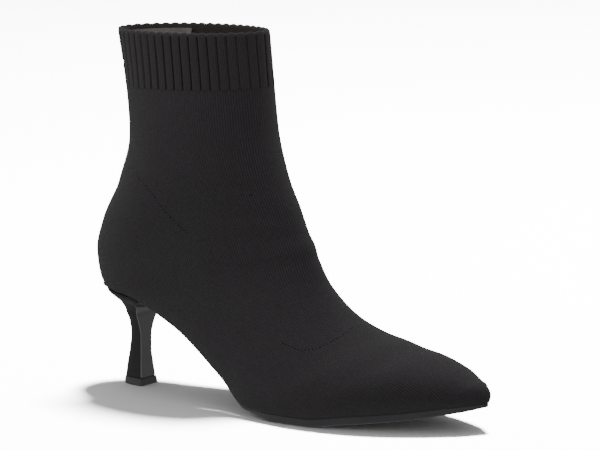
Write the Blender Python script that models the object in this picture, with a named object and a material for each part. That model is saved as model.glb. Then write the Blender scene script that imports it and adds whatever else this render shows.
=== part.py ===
"""A woman's pull-on ankle boot in flat knit, standing empty on its slim heel and forefoot.

Metres, +Z up, +X from heel to toe, -Y the outer (lateral) side of this right boot.
The origin is the centre of the heel tip's tread, on the floor.
"""

from collections import namedtuple

import bmesh
import bpy
import numpy as np

# Sizes of the last, taken over the finished upper
LENGTH = 0.2546          # back of the heel to the tip of the toe
BALL_WIDTH = 0.0802      # widest place of the forefoot
ANKLE_WIDTH = 0.0606     # widest place of shaft and heel
SEAT_HEIGHT = 0.0585     # floor to the feather line at the back of the heel
SHAFT_RISE = 0.1493      # from there up to the front of the collar
INSTEP_HEIGHT = 0.0448   # tallest section of the foot, over the feather line
TOE_SPRING = 0.0109      # rise of the feather line from ball to toe
TOE_SWING = 0.0103       # how far the toe swings to the inner side

# Sizes of the pieces
KNIT_WALL = 0.0018
CUFF_HEIGHT = 0.0314
CUFF_WALL = 0.0027
RIB_COUNT = 42
RIB_DEPTH = 0.0009
RIB_RIM = 0.0036         # plain rim over the tops of the grooves
SOLE_THICKNESS = 0.0046
SOLE_OVERHANG = 0.0007   # how far the outsole stands out past the feather line at the ball
SOLE_TUCK = 0.0016       # how far its lower edge is drawn in
INSOLE_THICKNESS = 0.0024
INSOLE_EASE = 0.0020     # room between the edge of the insole and the wall
HEEL_BREAST = 0.0300     # back of the boot to the front face of the heel
HEEL_TIP_LENGTH = 0.0150
HEEL_TIP_WIDTH = 0.0130
SEAT_BREAST = 0.0430     # back of the boot to the heel's upper front corners
BREAST_SWEEP = 0.0140    # how far the front face sweeps forward under the arch
TOP_LIFT_THICKNESS = 0.0043
TOP_LIFT_OVERHANG = 0.0009
CLEARANCE = 0.0003       # gap between pieces that meet
HEEL_CLEARANCE = 0.0006  # gap under the curved seat of the outsole

# Sections of the shaft. Heights are shares of SHAFT_RISE over the seat, lengths of
# LENGTH, widths of ANKLE_WIDTH. "middle" is where from back to front it is widest, and
# "roll" shapes the turn behind it: 0.5 is round, 1.0 draws in evenly to the feather line.
ShaftRow = namedtuple("ShaftRow", "back_height front_height back front width middle roll")
SHAFT_ROWS = (
    ShaftRow(0.973, 1.000, 0.066, 0.458, 0.766, 0.50, 0.50),
    ShaftRow(0.763, 0.795, 0.089, 0.467, 0.838, 0.50, 0.50),
    ShaftRow(0.571, 0.625, 0.102, 0.476, 0.931, 0.45, 0.49),
    ShaftRow(0.390, 0.468, 0.071, 0.501, 1.000, 0.40, 0.47),
    ShaftRow(0.246, 0.358, 0.027, 0.534, 0.983, 0.35, 0.46),
    ShaftRow(0.127, 0.263, 0.008, 0.562, 0.958, 0.31, 0.45),
    ShaftRow(0.000, 0.203, 0.027, 0.580, 0.952, 0.30, 0.45),
)

# Sections of the foot, leaning forward. "lift" is the feather line's share of the seat's
# height, "spring" of TOE_SPRING, "body" of INSTEP_HEIGHT, and both widths of BALL_WIDTH.
FootRow = namedtuple("FootRow", "feather top lift spring body width feather_width middle roll")
FOOT_ROWS = (
    FootRow(0.120, 0.603, 0.965, 0.000, 0.419, 0.704, 0.588, 0.28, 0.72),
    FootRow(0.268, 0.637, 0.701, 0.000, 0.483, 0.736, 0.611, 0.28, 0.95),
    FootRow(0.399, 0.684, 0.286, 0.000, 0.759, 0.833, 0.686, 0.28, 0.80),
    FootRow(0.490, 0.744, 0.014, 0.000, 0.940, 0.953, 0.838, 0.26, 0.60),
    FootRow(0.570, 0.789, 0.000, 0.000, 0.887, 0.992, 0.905, 0.26, 0.52),
    FootRow(0.650, 0.829, 0.000, 0.000, 0.813, 0.975, 0.893, 0.27, 0.49),
    FootRow(0.737, 0.869, 0.000, 0.240, 0.705, 0.878, 0.781, 0.30, 0.46),
    FootRow(0.863, 0.934, 0.000, 0.580, 0.495, 0.603, 0.519, 0.33, 0.46),
    FootRow(0.952, 0.981, 0.000, 0.880, 0.283, 0.317, 0.250, 0.36, 0.50),
    FootRow(1.000, 1.000, 0.000, 1.000, 0.275, 0.200, 0.150, 0.40, 0.50),
)
SEAT_STATION = len(SHAFT_ROWS) - 1
SEAT_END = len(SHAFT_ROWS)
TOE_STATION = SEAT_END + len(FOOT_ROWS) - 2
TIP_STATION = TOE_STATION + 1
TOE_ROUNDING = 0.54      # power that rounds the tip of the toe
SEAT_ROUNDING = (1.6, 0.62)  # powers that round the back of the seat
TOE_BLUNTNESS = 0.5      # power that keeps the tip of the toe deep from the side
TOE_BULGE = 0.0020       # how far the toe stands out over the tip of the feather line
TIP_INSET = 2.2          # how much further back a pointed tip goes when it is inset
SWING_START = 0.59       # share of LENGTH where the toe starts to swing
SWING_POWER = 1.6

# Sections of the heel. "rise" is the share of its height, "ahead" and "length" are shares
# of HEEL_TIP_LENGTH, "width" of HEEL_TIP_WIDTH, and the last three say how far the breast,
# the sides and the back have flared out to the outline of the seat.
HeelRow = namedtuple("HeelRow", "rise ahead length width fullness breast side back")
HEEL_ROWS = (
    HeelRow(0.00, 0.05, 1.00, 1.00, 2.3, 0.00, 0.00, 0.00),
    HeelRow(0.15, 0.01, 0.88, 0.86, 2.2, 0.00, 0.00, 0.00),
    HeelRow(0.31, -0.02, 0.74, 0.74, 2.1, 0.00, 0.00, 0.00),
    HeelRow(0.47, -0.01, 0.67, 0.76, 2.1, 0.00, 0.00, 0.00),
    HeelRow(0.62, 0.02, 0.72, 1.10, 2.1, 0.00, 0.00, 0.00),
    HeelRow(0.73, 0.06, 0.85, 1.48, 2.2, 0.00, 0.00, 0.00),
    HeelRow(0.84, 0.06, 0.90, 1.55, 2.3, 0.26, 0.27, 0.06),
    HeelRow(0.93, 0.06, 0.95, 1.60, 2.4, 0.68, 0.66, 0.36),
    HeelRow(1.00, 0.06, 1.00, 1.60, 2.9, 1.00, 1.00, 1.00),
)

# The outsole by station, in shares of SOLE_THICKNESS and of SOLE_OVERHANG. It is drawn in
# under the heel and the waist, and stands out round the forefoot.
SoleRow = namedtuple("SoleRow", "station thickness overhang")
SOLE_ROWS = (
    SoleRow(SEAT_STATION, 0.22, -0.6),
    SoleRow(SEAT_END + 1, 0.28, -2.0),
    SoleRow(SEAT_END + 2, 0.36, -1.8),
    SoleRow(SEAT_END + 3, 0.50, -1.2),
    SoleRow(SEAT_END + 4, 1.00, 1.0),
    SoleRow(TOE_STATION - 2, 1.00, 1.0),
    SoleRow(TOE_STATION, 0.72, 0.8),
    SoleRow(TIP_STATION, 0.35, 0.3),
)

# Mesh steps
AROUND = 20              # steps from the feather line, or the back, to the top line
SHAFT_STEPS = 10
SEAT_STEPS = 6
FOOT_STEPS = 20
TOE_STEPS = 6
CUFF_STEPS = 4           # columns for each rib and its groove
HEEL_ARC = 20
BREAST_STEPS = 6
SMOOTH_ANGLE = 40.0


def smooth_through(rows):
    """Return a monotone cubic curve through (position, value) rows, without overshoot."""
    x = np.array([row[0] for row in rows], float)
    y = np.array([row[1] for row in rows], float)
    step = np.diff(x)
    slope = np.diff(y) / step
    tangent = np.empty(len(x))
    tangent[0] = slope[0]
    tangent[-1] = slope[-1]
    for i in range(1, len(x) - 1):
        before, after = slope[i - 1], slope[i]
        if before * after <= 0.0:
            tangent[i] = 0.0
        else:
            near, far = 2 * step[i] + step[i - 1], step[i] + 2 * step[i - 1]
            tangent[i] = (near + far) / (near / before + far / after)

    def value(at):
        at = min(max(at, x[0]), x[-1])
        i = min(int(np.searchsorted(x, at, side="right")) - 1, len(x) - 2)
        s = (at - x[i]) / step[i]
        return (
            (1 + 2 * s) * (1 - s) ** 2 * y[i]
            + s * (1 - s) ** 2 * step[i] * tangent[i]
            + s * s * (3 - 2 * s) * y[i + 1]
            + s * s * (s - 1) * step[i] * tangent[i + 1]
        )

    return value


def last_curves():
    """Turn both tables into curves of real sizes by station, 0 at the collar."""
    columns = {name: [] for name in "back_x back_z front_x front_z half feather middle roll".split()}

    def add(station, **values):
        for name, value in values.items():
            columns[name].append((station, value))

    for station, row in enumerate(SHAFT_ROWS):
        add(station, back_x=row.back * LENGTH, front_x=row.front * LENGTH,
            back_z=SEAT_HEIGHT + row.back_height * SHAFT_RISE,
            front_z=SEAT_HEIGHT + row.front_height * SHAFT_RISE,
            half=row.width * ANKLE_WIDTH / 2, middle=row.middle, roll=row.roll)
    for station, row in enumerate(FOOT_ROWS, SEAT_END):
        feather_z = (SOLE_THICKNESS + row.lift * (SEAT_HEIGHT - SOLE_THICKNESS)
                     + row.spring * TOE_SPRING)
        add(station, back_x=row.feather * LENGTH, front_x=row.top * LENGTH,
            back_z=feather_z, front_z=feather_z + row.body * INSTEP_HEIGHT,
            half=row.width * BALL_WIDTH / 2, middle=row.middle, roll=row.roll,
            feather=row.feather_width * BALL_WIDTH / 2)
    return {name: smooth_through(rows) for name, rows in columns.items()}


CURVES = last_curves()
SOLE_CURVE = smooth_through([(row.station, row.thickness) for row in SOLE_ROWS])
OVERHANG_CURVE = smooth_through([(row.station, row.overhang) for row in SOLE_ROWS])


def station_where(curve, value, low, high):
    """Find the station between low and high where a steady curve has a value."""
    rising = curve(high) > curve(low)
    for _ in range(50):
        middle = (low + high) / 2
        if (curve(middle) < value) == rising:
            low = middle
        else:
            high = middle
    return (low + high) / 2


def tip_x(inset):
    """Tip of the feather line when it is inset, further back than a blunt end would be."""
    return LENGTH - inset * (TIP_INSET if inset > 0.0 else 1.0)


def toe_taper(x, inset=0.0):
    """Share of the toe's width left at x, falling to nothing at its tip."""
    start, tip = CURVES["back_x"](TOE_STATION), tip_x(inset)
    share = min(max((x - start) / (tip - start), 0.0), 1.0)
    return (1.0 - share) ** TOE_ROUNDING


def seat_station_at(x):
    """Station whose feather line lies at x, under the foot."""
    return station_where(CURVES["back_x"], x, SEAT_STATION, TIP_STATION)


def feather_half(x, station, inset=0.0):
    """Half width of the feather line, round at the back of the seat and at the toe."""
    end = CURVES["back_x"](SEAT_END)
    start = CURVES["back_x"](SEAT_STATION) + inset
    before, after = max(station - 0.05, SEAT_END), min(station + 0.05, TIP_STATION)
    slope = 0.0
    if station > SEAT_END:
        slope = ((CURVES["feather"](after) - CURVES["feather"](before))
                 / (CURVES["back_x"](after) - CURVES["back_x"](before)))
    half = CURVES["feather"](station) - inset * (1.0 + slope ** 2) ** 0.5
    share = min(max((end - x) / (end - start), 0.0), 1.0)
    return half * (1.0 - share ** SEAT_ROUNDING[0]) ** SEAT_ROUNDING[1] * toe_taper(x, inset)


def swing(x):
    """Sideways place of the centre line at x."""
    start = SWING_START * LENGTH
    return TOE_SWING * max((x - start) / (LENGTH - start), 0.0) ** SWING_POWER


def side_point(station, around):
    """Point of the last's section at a station: x, half width and z.

    around runs from 0 at the feather line, or the back of the shaft, to 1 at the top line.
    """
    back_x, back_z = CURVES["back_x"](station), CURVES["back_z"](station)
    front_x, front_z = CURVES["front_x"](station), CURVES["front_z"](station)
    middle = CURVES["middle"](station)
    feather = feather_half(back_x, station) if station > SEAT_STATION else 0.0
    taper = toe_taper(back_x)
    half = CURVES["half"](station) * taper
    turn = abs(around - 0.5) * np.pi
    if around < 0.5:
        share = middle - middle * np.sin(turn)
        wide = feather + (half - feather) * np.cos(turn) ** (2.0 * CURVES["roll"](station))
    else:
        share = middle + (1.0 - middle) * np.sin(turn)
        wide = half * np.cos(turn) if around < 1.0 else 0.0
    level = share * taper ** TOE_BLUNTNESS
    bulge = TOE_BULGE * (1.0 - taper) * 4.0 * level * (1.0 - level)
    x = back_x + share * (front_x - back_x) + bulge
    z = back_z + (front_z - back_z) * level
    return x, wide, z


def world(x, y, z):
    """Place a point of the boot in the part's frame, with the toe's swing."""
    tip = HEEL_ROWS[0]
    tip_centre = HEEL_BREAST + HEEL_TIP_LENGTH * (tip.ahead - tip.length / 2)
    return (x - tip_centre, y + swing(x), z)


def section_ring(station, count):
    """Closed ring of a shaft section, evenly spaced from the back round the outer side."""
    fine = np.linspace(0.0, 1.0, 80)
    side = np.array([side_point(station, value) for value in fine])
    outer = side * (1, -1, 1)
    ring = np.vstack([outer, side[::-1][1:]])
    run = np.r_[0.0, np.cumsum(np.linalg.norm(np.diff(ring, axis=0), axis=1))]
    places = np.linspace(0.0, run[-1], count, endpoint=False)
    return np.stack([np.interp(places, run, ring[:, axis]) for axis in range(3)], axis=1)


def make_object(name, vertices, faces, material):
    """Make one named mesh object with its own material."""
    mesh = bpy.data.meshes.new(name)
    mesh.from_pydata([tuple(map(float, point)) for point in vertices], [], faces)
    mesh.update()
    mesh.materials.append(material)
    mesh.shade_smooth()
    mesh.set_sharp_from_angle(angle=np.radians(SMOOTH_ANGLE))
    piece = bpy.data.objects.new(name, mesh)
    bpy.context.scene.collection.objects.link(piece)
    return piece


def make_material(name, colour, roughness):
    """Make a plain Principled material."""
    material = bpy.data.materials.new(name)
    material.use_nodes = True
    shader = material.node_tree.nodes["Principled BSDF"]
    shader.inputs["Base Color"].default_value = (*colour, 1.0)
    shader.inputs["Roughness"].default_value = roughness
    return material


def strip_faces(rings, count, closed):
    """Quads between neighbouring rings of vertices, each with count points."""
    faces = []
    last = count if closed else count - 1
    for ring in range(rings - 1):
        for place in range(last):
            a = ring * count + place
            b = ring * count + (place + 1) % count
            faces.append((a, b, b + count, a + count))
    return faces


def upper_stations(top):
    """Stations of the upper's rings, closer where the seat and the toe turn round."""
    shaft = list(np.linspace(top, SEAT_STATION, SHAFT_STEPS + 1))
    seat_x, end_x = CURVES["back_x"](SEAT_STATION), CURVES["back_x"](SEAT_END)
    turns = np.linspace(0.0, np.pi / 2, SEAT_STEPS + 1)[1:]
    seat = [station_where(CURVES["back_x"], end_x - (end_x - seat_x) * np.cos(turn),
                          SEAT_STATION, SEAT_END) for turn in turns]
    foot = list(np.linspace(SEAT_END, TOE_STATION, FOOT_STEPS + 1))[1:]
    toe = list(TOE_STATION + np.sin(np.linspace(0.0, np.pi / 2, TOE_STEPS + 1))[1:])
    return shaft + seat + foot + toe


def build_upper(cuff_station, material):
    """The one-piece knit upper: a thin open shell from under the cuff to the toe."""
    rise = CURVES["back_z"](cuff_station) - CLEARANCE
    top = station_where(CURVES["back_z"], rise, 0, SEAT_STATION)
    stations = upper_stations(top)
    vertices = []
    around = np.linspace(0.0, 1.0, AROUND + 1)
    for station in stations:
        side = [side_point(station, value) for value in around]
        vertices += [world(x, -y, z) for x, y, z in side]
        vertices += [world(x, y, z) for x, y, z in side[::-1][1:]]
    count = 2 * AROUND + 1
    faces = strip_faces(len(stations), count, closed=False)
    piece = make_object("knit_upper", vertices, faces, material)
    shell = bmesh.new()
    shell.from_mesh(piece.data)
    bmesh.ops.remove_doubles(shell, verts=shell.verts, dist=0.00005)
    bmesh.ops.dissolve_degenerate(shell, edges=shell.edges, dist=0.00005)
    bmesh.ops.recalc_face_normals(shell, faces=shell.faces)
    shell.to_mesh(piece.data)
    shell.free()
    wall = piece.modifiers.new("Knit wall", "SOLIDIFY")
    wall.thickness = KNIT_WALL
    wall.offset = -1.0
    wall.use_even_offset = True
    return piece


def inward(ring):
    """Unit directions, level with the ring, that point into it."""
    along = np.roll(ring, -1, axis=0) - np.roll(ring, 1, axis=0)
    side = np.stack([-along[:, 1], along[:, 0], np.zeros(len(ring))], axis=1)
    side /= np.linalg.norm(side, axis=1)[:, None]
    centre = ring.mean(axis=0)
    facing = np.sign(((centre - ring) * side).sum(axis=1))
    return side * facing[:, None]


def build_cuff(cuff_station, material):
    """The ribbed cuff: flat ribs with narrow grooves, under a plain rounded rim."""
    count = RIB_COUNT * CUFF_STEPS
    height = CURVES["back_z"](0) - CURVES["back_z"](cuff_station)
    groove = np.tile([1.0, 0.0, 0.0, 0.0], RIB_COUNT) * RIB_DEPTH
    rim = CUFF_WALL / 2
    # Distance below the top, depth into the wall, and whether the grooves are cut there
    outer = (
        (0.0, rim, 0.0),
        (rim * 0.3, rim * 0.3, 0.0),
        (rim, 0.0, 0.0),
        (RIB_RIM, 0.0, 1.0),
        (height * 0.5, 0.0, 1.0),
        (height, 0.0, 1.0),
    )
    inner = ((height, CUFF_WALL, 0.0), (rim, CUFF_WALL, 0.0))
    rings = []
    for down, depth, cut in outer + inner:
        station = station_where(CURVES["back_z"], CURVES["back_z"](0) - down, 0, SEAT_STATION)
        ring = section_ring(station, count)
        rings.append(ring + inward(ring) * (depth + cut * groove)[:, None])
    vertices = [world(*point) for ring in rings for point in ring]
    faces = strip_faces(len(rings), count, closed=True)
    last = (len(rings) - 1) * count
    faces += [(last + i, last + (i + 1) % count, (i + 1) % count, i) for i in range(count)]
    piece = make_object("ribbed_cuff", vertices, faces, material)
    turn_outwards(piece)
    return piece


def turn_outwards(piece):
    """Make every face of a closed mesh point out."""
    mesh = bmesh.new()
    mesh.from_mesh(piece.data)
    bmesh.ops.recalc_face_normals(mesh, faces=mesh.faces)
    mesh.to_mesh(piece.data)
    mesh.free()


def sole_height(station):
    """Underside of the outsole over the floor."""
    return CURVES["back_z"](station) - SOLE_THICKNESS * SOLE_CURVE(station)


def plate_stations(inset):
    """Stations along the feather line, inset from its ends, closer at both round ends."""
    start = CURVES["back_x"](SEAT_STATION) + inset(SEAT_STATION)
    end_x, toe_x = CURVES["back_x"](SEAT_END), CURVES["back_x"](TOE_STATION)
    tip = tip_x(inset(TIP_STATION))
    places = list(end_x - (end_x - start) * np.cos(np.linspace(0.0, np.pi / 2, SEAT_STEPS + 1)))
    foot = np.linspace(SEAT_END, TOE_STATION, FOOT_STEPS + 1)[1:]
    places += [CURVES["back_x"](station) for station in foot]
    places += list(toe_x + (tip - toe_x) * np.sin(np.linspace(0.0, np.pi / 2, TOE_STEPS + 1))[1:])
    return [(x, seat_station_at(x)) for x in places]


def build_plate(name, inset, heights, tucks, material):
    """A plate along the feather line, drawn in by inset(station).

    heights(station) gives its top and underside, and tucks its side's inset at each level.
    """
    rings = []
    for x, station in plate_stations(inset):
        half = feather_half(x, station, inset(station))
        top, under = heights(station)
        side = [(half - min(tuck, half), top + level * (under - top)) for level, tuck in tucks]
        ring = [(x, -wide, z) for wide, z in side] + [(x, wide, z) for wide, z in side[::-1]]
        rings.append([world(*point) for point in ring])
    count = 2 * len(tucks)
    vertices = [point for ring in rings for point in ring]
    faces = strip_faces(len(rings), count, closed=True)
    last = (len(rings) - 1) * count
    faces += [tuple(range(count)), tuple(last + i for i in range(count))]
    piece = make_object(name, vertices, faces, material)
    mesh = bmesh.new()
    mesh.from_mesh(piece.data)
    bmesh.ops.remove_doubles(mesh, verts=mesh.verts, dist=0.00002)
    bmesh.ops.dissolve_degenerate(mesh, edges=mesh.edges, dist=0.00002)
    bmesh.ops.recalc_face_normals(mesh, faces=mesh.faces)
    mesh.to_mesh(piece.data)
    mesh.free()
    return piece


def build_outsole(material):
    """The thin outsole, flat under the ball, arched at the waist and rising to the toe."""
    def heights(station):
        return CURVES["back_z"](station) - CLEARANCE, sole_height(station)

    def inset(station):
        return -SOLE_OVERHANG * OVERHANG_CURVE(station)

    tucks = ((0.0, 0.0), (0.45, 0.0), (0.8, SOLE_TUCK * 0.35), (1.0, SOLE_TUCK))
    return build_plate("outsole", inset, heights, tucks, material)


def build_insole(material):
    """The insole inside the wall, on the outsole."""
    def heights(station):
        feather = CURVES["back_z"](station)
        return feather + INSOLE_THICKNESS, feather

    def inset(_station):
        return KNIT_WALL + INSOLE_EASE

    tucks = ((0.0, INSOLE_THICKNESS * 0.2), (0.3, 0.0), (1.0, 0.0))
    return build_plate("insole", inset, heights, tucks, material)


def heel_outline(row, proud=0.0):
    """Ring of a heel section, from above: a rounded back and a broad front face."""
    seat_back = CURVES["back_x"](SEAT_STATION)
    seat_half = feather_half(SEAT_BREAST, seat_station_at(SEAT_BREAST))
    breast = HEEL_BREAST + row.ahead * HEEL_TIP_LENGTH
    back = breast - row.length * HEEL_TIP_LENGTH
    half = row.width * HEEL_TIP_WIDTH / 2
    breast += row.breast * (SEAT_BREAST - breast) + proud
    back += row.back * (seat_back - back) - proud
    half += row.side * (seat_half - half) + proud
    bow = BREAST_SWEEP * row.breast ** 2
    power = 2.0 / row.fullness
    ring = []
    for turn in np.linspace(-np.pi / 2, np.pi / 2, HEEL_ARC + 1):
        x = breast - (breast - back) * abs(np.cos(turn)) ** power
        wide = half * abs(np.sin(turn)) ** power
        seat_wide = feather_half(x, seat_station_at(x))
        wide += row.back * (seat_wide - wide)
        ring.append((x, np.sign(turn) * wide))
    across = np.linspace(1.0, -1.0, BREAST_STEPS + 1)[1:-1]
    ring += [(breast + bow * (1.0 - share ** 2), half * share) for share in across]
    return ring


def build_heel(material):
    """The slim heel, flared to fill the seat, with a swept breast under the arch."""
    foot = TOP_LIFT_THICKNESS
    curves = {name: smooth_through([(row.rise, getattr(row, name)) for row in HEEL_ROWS])
              for name in HeelRow._fields[1:]}
    rises = np.concatenate([np.linspace(0.0, 0.62, 6), np.linspace(0.62, 1.0, 8)[1:]])

    def seat(x):
        return sole_height(seat_station_at(x)) - HEEL_CLEARANCE

    rings = []
    for rise in rises:
        row = HeelRow(rise, *[curves[name](rise) for name in HeelRow._fields[1:]])
        outline = heel_outline(row)
        rings.append([(x, y, foot + rise * (seat(x) - foot)) for x, y in outline])
    top = np.array(rings[-1])
    centre = top.mean(axis=0)
    for shrink in (0.84, 0.68, 0.52, 0.36, 0.18):
        inner = centre + (top - centre) * shrink
        rings.append([(x, y, seat(x)) for x, y, _ in inner])
    count = len(top)
    vertices = [world(*point) for ring in rings for point in ring]
    faces = strip_faces(len(rings), count, closed=True)
    hub = len(vertices)
    vertices.append(world(centre[0], 0.0, seat(centre[0])))
    last = hub - count
    faces += [(last + i, last + (i + 1) % count, hub) for i in range(count)]
    faces.append(tuple(range(count)))
    piece = make_object("heel", vertices, faces, material)
    turn_outwards(piece)
    return piece


def build_top_lift(material):
    """The wearing piece under the heel tip, a little proud of it."""
    top = TOP_LIFT_THICKNESS - CLEARANCE
    levels = ((0.0, 0.8), (0.08, 1.0), (1.0, 0.35))
    rings = []
    for level, proud in levels:
        outline = heel_outline(HEEL_ROWS[0], TOP_LIFT_OVERHANG * proud)
        rings.append([world(x, y, level * top) for x, y in outline])
    count = len(rings[0])
    vertices = [point for ring in rings for point in ring]
    faces = strip_faces(len(rings), count, closed=True)
    last = (len(rings) - 1) * count
    faces += [tuple(range(count)), tuple(last + i for i in range(count))]
    piece = make_object("top_lift", vertices, faces, material)
    turn_outwards(piece)
    return piece


def main():
    """Clear the scene and build the boot."""
    for old in list(bpy.data.objects):
        bpy.data.objects.remove(old, do_unlink=True)
    cuff_bottom = CURVES["back_z"](0) - CUFF_HEIGHT
    cuff_station = station_where(CURVES["back_z"], cuff_bottom, 0, SEAT_STATION)
    build_upper(cuff_station, make_material("Black knit", (0.022, 0.020, 0.021), 0.85))
    build_cuff(cuff_station, make_material("Black rib knit", (0.024, 0.022, 0.023), 0.85))
    build_insole(make_material("Dark insole", (0.035, 0.032, 0.031), 0.80))
    build_outsole(make_material("Black sole", (0.018, 0.017, 0.017), 0.45))
    build_heel(make_material("Black heel cover", (0.020, 0.019, 0.019), 0.55))
    build_top_lift(make_material("Black rubber", (0.016, 0.016, 0.016), 0.70))


main()
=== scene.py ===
"""Looks of a black pull-on knit ankle boot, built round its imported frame.

Every piece is wrapped on the same last as the solids it stands for, so it lies where they do:
+X from heel to toe, -Y the outer side of the right boot, +Z up, metres, floor at z = 0.
"""

from __future__ import annotations

import logging
import math
from dataclasses import dataclass, field
from enum import Enum
from typing import Callable, NamedTuple, Sequence

import bpy
import numpy as np
from mathutils import Matrix, Vector


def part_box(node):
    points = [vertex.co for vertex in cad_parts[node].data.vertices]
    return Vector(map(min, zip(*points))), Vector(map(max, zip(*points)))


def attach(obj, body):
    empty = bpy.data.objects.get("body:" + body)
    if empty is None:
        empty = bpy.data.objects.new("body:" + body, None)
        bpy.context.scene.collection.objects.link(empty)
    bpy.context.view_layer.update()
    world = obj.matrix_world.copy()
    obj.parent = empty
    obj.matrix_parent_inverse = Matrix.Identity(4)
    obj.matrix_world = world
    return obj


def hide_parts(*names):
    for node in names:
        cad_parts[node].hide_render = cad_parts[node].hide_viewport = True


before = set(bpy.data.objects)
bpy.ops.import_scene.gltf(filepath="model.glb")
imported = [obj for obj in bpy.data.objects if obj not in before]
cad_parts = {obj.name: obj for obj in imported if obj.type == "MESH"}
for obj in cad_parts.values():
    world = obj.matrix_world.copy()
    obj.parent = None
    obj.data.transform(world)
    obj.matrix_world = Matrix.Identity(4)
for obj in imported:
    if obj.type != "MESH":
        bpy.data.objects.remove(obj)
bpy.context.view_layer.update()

LOG = logging.getLogger("knit_boot")
IMAGE_WIDTH = 600
MM = 0.001


class ShaftRow(NamedTuple):
    """One section of the shaft, in shares of the last's named sizes."""

    back_height: float
    front_height: float
    back: float
    front: float
    width: float
    middle: float
    roll: float


class FootRow(NamedTuple):
    """One section of the foot, in shares of the last's named sizes."""

    feather: float
    top: float
    lift: float
    spring: float
    body: float
    width: float
    feather_width: float
    middle: float
    roll: float


class SoleRow(NamedTuple):
    """One place of the outsole, in shares of its thickness and overhang."""

    station: float
    thickness: float
    overhang: float


class HeelRow(NamedTuple):
    """One section of the heel, in shares of its tip's sizes and of its flare."""

    rise: float
    ahead: float
    length: float
    width: float
    fullness: float
    breast: float
    side: float
    back: float


class Side(Enum):
    """Side of the boot, as the sign of Y."""

    OUTER = -1.0
    INNER = 1.0


class Curve:
    """A monotone cubic curve through (position, value) rows, without overshoot."""

    def __init__(self, rows: Sequence[tuple[float, float]]) -> None:
        """Work out the tangents.

        Args:
            rows: positions in rising order, each with its value.
        """
        self.at = np.array([row[0] for row in rows], float)
        self.to = np.array([row[1] for row in rows], float)
        self.step = np.diff(self.at)
        slope = np.diff(self.to) / self.step
        self.tangent = np.concatenate([slope[:1], np.zeros(len(rows) - 2), slope[-1:]])
        for i in range(1, len(rows) - 1):
            if slope[i - 1] * slope[i] > 0.0:
                near = 2 * self.step[i] + self.step[i - 1]
                far = self.step[i] + 2 * self.step[i - 1]
                self.tangent[i] = (near + far) / (near / slope[i - 1] + far / slope[i])

    def __call__(self, place: float | np.ndarray) -> float | np.ndarray:
        """Return the curve's value at a place, or at an array of places."""
        place = np.clip(place, self.at[0], self.at[-1])
        i = np.clip(np.searchsorted(self.at, place, side="right") - 1, 0, len(self.at) - 2)
        h = self.step[i]
        s = (place - self.at[i]) / h
        return (
            (1 + 2 * s) * (1 - s) ** 2 * self.to[i]
            + s * (1 - s) ** 2 * h * self.tangent[i]
            + s * s * (3 - 2 * s) * self.to[i + 1]
            + s * s * (s - 1) * h * self.tangent[i + 1]
        )

    def where(self, value: float, low: float, high: float) -> float:
        """Find the place between two others where the steady curve has a value.

        Args:
            value: the value looked for.
            low: one end of the search.
            high: the other end.

        Returns:
            The place.
        """
        rising = self(high) > self(low)
        for _ in range(40):
            middle = (low + high) / 2
            if (self(middle) < value) == rising:
                low = middle
            else:
                high = middle
        return (low + high) / 2


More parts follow.
